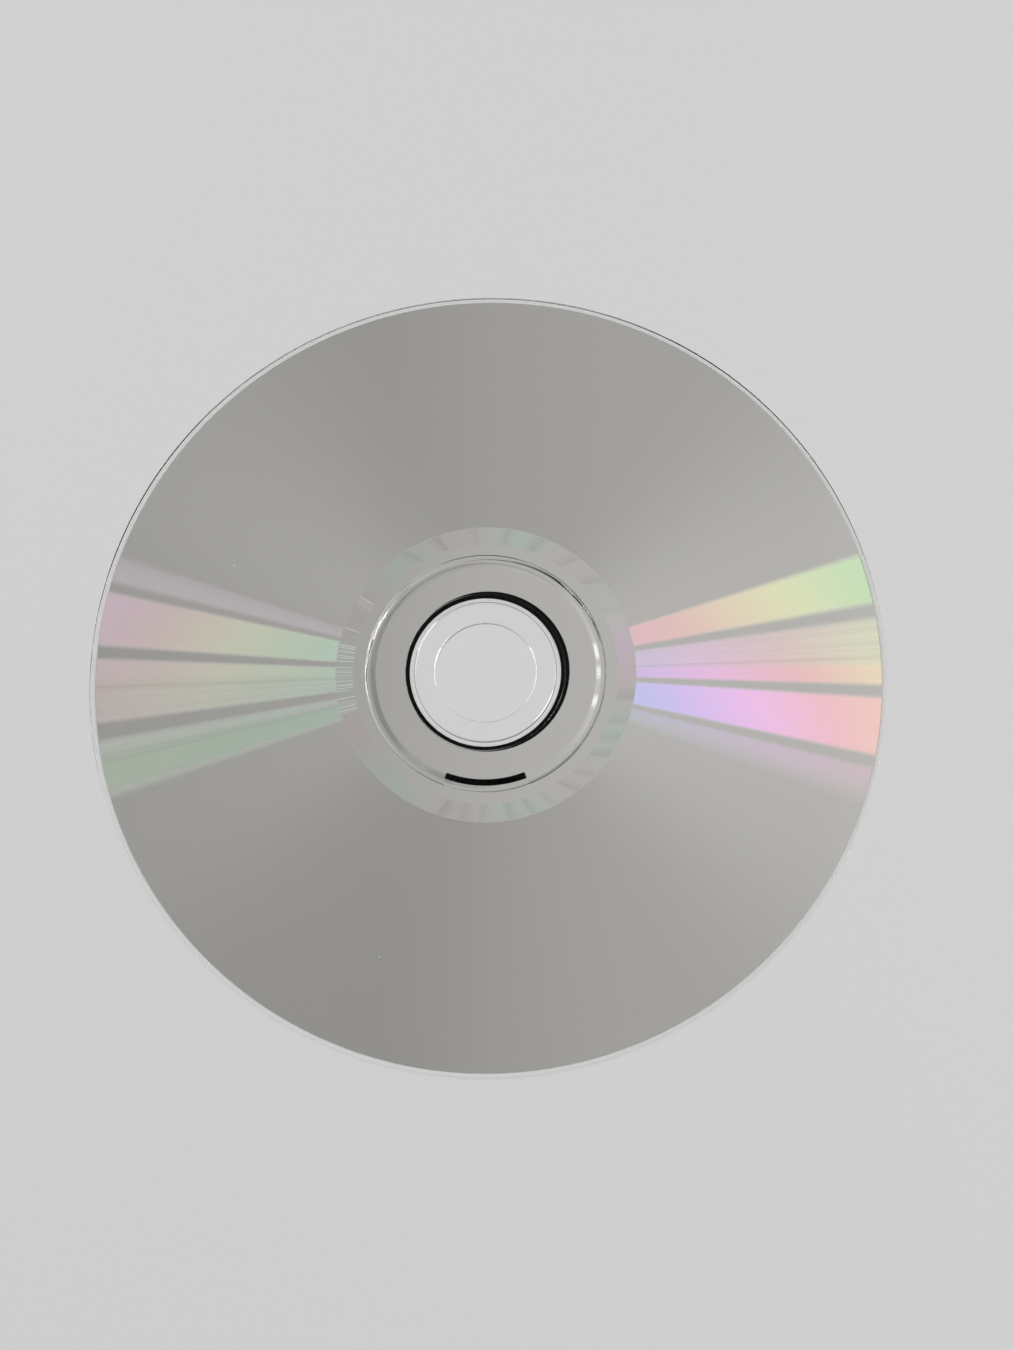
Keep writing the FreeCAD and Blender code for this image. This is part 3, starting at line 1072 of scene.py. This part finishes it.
@dataclass(frozen=True)
class Softbox:
    """One large lamp that is aimed at the disc, with the level of its face."""

    name: str
    place: tuple[float, float, float]
    width: float
    height: float
    level: float

    def hang(self) -> None:
        """Adds the lamp to the scene."""
        lamp = bpy.data.lights.new(self.name, "AREA")
        lamp.shape, lamp.size, lamp.size_y = "RECTANGLE", self.width, self.height
        lamp.energy = self.level * math.pi * self.width * self.height
        holder = bpy.data.objects.new(self.name, lamp)
        holder.location = self.place
        holder.rotation_euler = (-Vector(self.place)).to_track_quat("-Z", "Y").to_euler()
        bpy.context.scene.collection.objects.link(holder)


@dataclass(frozen=True)
class Flag:
    """Dark patch of the sky, with its sides as slopes from straight up, and its depth."""

    left: float
    right: float
    near: float
    far: float
    depth: float


@dataclass
class Studio:
    """Pale floor, soft sky, lamps and camera."""

    floor_radius: float = 4.0
    floor_level: float = -0.01
    floor_corners: int = 96
    lens: float = 50.667
    camera_place: tuple[float, float, float] = (12.916, -60.263, 279.976)
    camera_tilt: tuple[float, float, float] = (12.080, 1.999, 0.0)
    sky: tuple[tuple[float, float], ...] = (
        (-0.5, 0.4), (-0.4, 0.27), (-0.29, 0.28), (-0.25, 0.38), (-0.1, 0.425), (-0.04, 0.48), (0.02, 0.505),
        (0.13, 0.505), (0.2, 0.56), (0.26, 0.62), (0.32, 0.66), (0.5, 0.95))
    windows: tuple[tuple[float, float], ...] = ((0.125, 0.155), (0.205, 0.235), (0.262, 0.305))
    window_light: float = 0.45
    window_start: Ring = (0.215, 0.24)
    window_edge: float = 0.01
    flags: tuple[Flag, ...] = (
        Flag(-0.72, 0.24, -0.21, -0.85, 1.0), Flag(-0.8, -0.36, 0.0, -0.28, 0.6),
        Flag(0.24, 0.62, -0.08, -0.7, 0.4), Flag(-0.36, -0.151, -0.04, -0.24, 0.2))
    flag_side: float = 0.005
    flag_near: float = 0.01
    flag_far: float = 0.15
    horizon: float = 0.62
    horizon_rise: Ring = (0.15, 0.5)
    back_fall: Ring = (0.42, 0.58)
    back_level: float = 0.8
    least_height: float = 0.02
    tint: Colour = (1.0, 0.995, 0.985)
    lamps: tuple[Softbox, ...] = (
        Softbox("softbox_left", (-0.85, 0.55, 0.9), 0.6, 0.6, 4.0),
        Softbox("softbox_right", (0.95, -0.35, 0.85), 0.6, 0.6, 4.0),
        Softbox("strip_left", (-1.1, 0.12, 0.27), 1.0, 0.3, 7.0),
        Softbox("strip_right", (1.1, 0.12, 0.32), 1.0, 0.3, 7.0),
    )

    def lay_floor(self) -> bpy.types.Object:
        """Lays the floor just under the disc.

        Returns:
            The floor.
        """
        sheet = bmesh.new()
        bmesh.ops.create_circle(sheet, cap_ends=True, radius=self.floor_radius, segments=self.floor_corners)
        bmesh.ops.translate(sheet, verts=sheet.verts, vec=(0, 0, self.floor_level * MM))
        mesh = bpy.data.meshes.new("floor")
        sheet.to_mesh(mesh)
        sheet.free()
        floor = bpy.data.objects.new("floor", mesh)
        floor.data.materials.append(PaleFloorFinish().make())
        bpy.context.scene.collection.objects.link(floor)
        return floor

    def light_sky(self) -> None:
        """Fills the world with soft grey light that is brighter to the right and near the horizon."""
        world = bpy.data.worlds.new("studio_sky")
        world.use_nodes = True
        bpy.context.scene.world = world
        sheet = Sheet(world.node_tree)
        way = sheet.add("ShaderNodeTexCoord").outputs["Generated"]
        parts = sheet.add("ShaderNodeSeparateXYZ", {0: way})
        height = sheet.math("MAXIMUM", sheet.math("ABSOLUTE", parts.outputs[2]), self.least_height)
        across = sheet.math("DIVIDE", parts.outputs[0], height)
        back = sheet.math("DIVIDE", parts.outputs[1], height)
        spread = sheet.math("ADD", across, 0.5, clamp=True)
        level = sheet.ramp(spread, tuple((place + 0.5, (value,) * 3) for place, value in self.sky))
        level = sheet.math("MULTIPLY", level, sheet.step(back, *self.back_fall, 1.0, self.back_level))
        edge = self.window_edge
        for low, high in self.windows:
            pane = sheet.math("MULTIPLY", sheet.step(back, low - edge, low + edge),
                              sheet.step(back, high - edge, high + edge, 1.0, 0.0))
            pane = sheet.math("MULTIPLY", pane, sheet.step(across, *self.window_start))
            level = sheet.math("MULTIPLY_ADD", pane, self.window_light, level)
        side, near = self.flag_side, self.flag_near
        for flag in self.flags:
            wide = sheet.math("MULTIPLY", sheet.step(across, flag.left - side, flag.left + side),
                              sheet.step(across, flag.right - side, flag.right + side, 1.0, 0.0))
            deep = sheet.math("MULTIPLY", sheet.step(back, flag.near - near, flag.near + near, 1.0, 0.0),
                              sheet.step(back, flag.far - self.flag_far, flag.far))
            shadow = sheet.math("MULTIPLY", wide, deep)
            level = sheet.math("MULTIPLY", level, sheet.math("MULTIPLY_ADD", shadow, -flag.depth, 1.0))
        low = sheet.step(parts.outputs[2], *self.horizon_rise, 1.0, 0.0)
        level = sheet.math("ADD", sheet.math("MULTIPLY", level, sheet.math("SUBTRACT", 1.0, low)),
                           sheet.math("MULTIPLY", low, self.horizon))
        shade = sheet.add("ShaderNodeBackground", {"Color": self.tint, "Strength": level})
        sheet.add("ShaderNodeOutputWorld", {"Surface": shade.outputs[0]})

    def place_camera(self) -> None:
        """Sets the camera at the photograph's angle."""
        lens = bpy.data.cameras.new("camera")
        lens.lens, lens.sensor_width, lens.sensor_fit = self.lens, 36.0, "AUTO"
        lens.clip_start = 0.01
        camera = bpy.data.objects.new("camera", lens)
        camera.location = Vector(self.camera_place) * MM
        camera.rotation_euler = Euler([math.radians(angle) for angle in self.camera_tilt], "XYZ")
        bpy.context.scene.collection.objects.link(camera)
        bpy.context.scene.camera = camera

    def build(self) -> None:
        """Sets up the whole studio."""
        self.lay_floor()
        self.light_sky()
        for lamp in self.lamps:
            lamp.hang()
        self.place_camera()
        bpy.context.scene.view_settings.view_transform = "Standard"


def main() -> None:
    """Builds the disc and its studio, and reports each piece."""
    logging.basicConfig(level=logging.INFO, format="%(name)s: %(message)s")
    effects = SharedEffects()
    pieces = [
        ClearBody().build(effects),
        dress_node(Node.REFLECTIVE_LAYER, MetalFilmFinish().make(effects)),
        dress_node(Node.LABEL_PRINT, BlackInkFinish().make(effects)),
    ]
    for piece in pieces:
        LOG.info("%s: %d faces", piece.name, len(piece.data.polygons))
    Studio().build()


if __name__ == "__main__":
    main()
